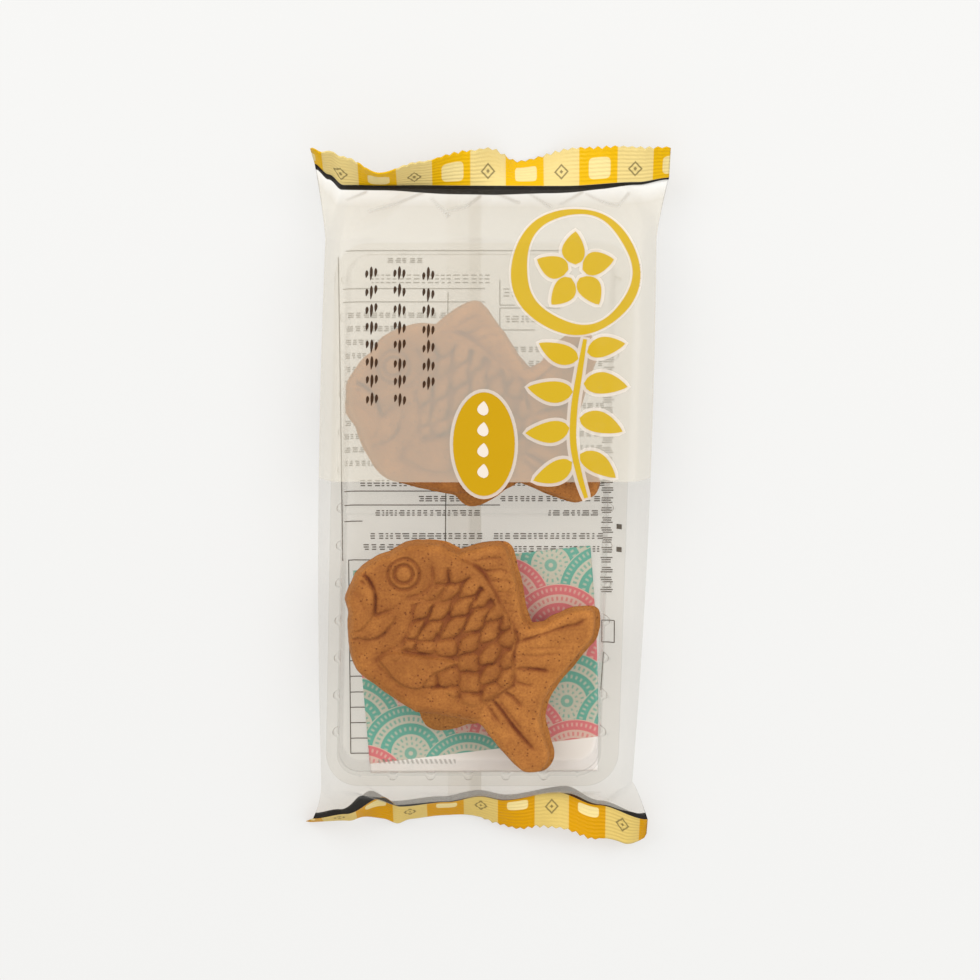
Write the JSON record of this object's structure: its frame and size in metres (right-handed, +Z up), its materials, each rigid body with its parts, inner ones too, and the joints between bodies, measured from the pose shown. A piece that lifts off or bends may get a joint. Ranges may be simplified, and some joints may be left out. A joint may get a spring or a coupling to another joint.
{
  "type": "packed fish-shaped cakes",
  "caption": "Clear film pack with fish-shaped cream cakes in a clear tray, crimped yellow end fins, lying on its back with its front up.",
  "frame": {"origin": "centre of the bounding box's underside, on the surface that the pack lies on", "axes": "+Y towards the pack's top end, +X to the right of its printed front, +Z up out of its front"},
  "size_m": [0.1127, 0.2199, 0.0214],
  "materials": {
    "film": "clear glossy film with printed, milky and crimped fields",
    "tray": "clear thermoformed tray, glossy",
    "cake": "baked brown crust, satin with matt pores",
    "sachet": "white paper and film laminate with teal and pink wave pattern",
    "print": "printing ink on film"
  },
  "bodies": {
    "root": {"pack": "film"}
  },
  "joints": []
}
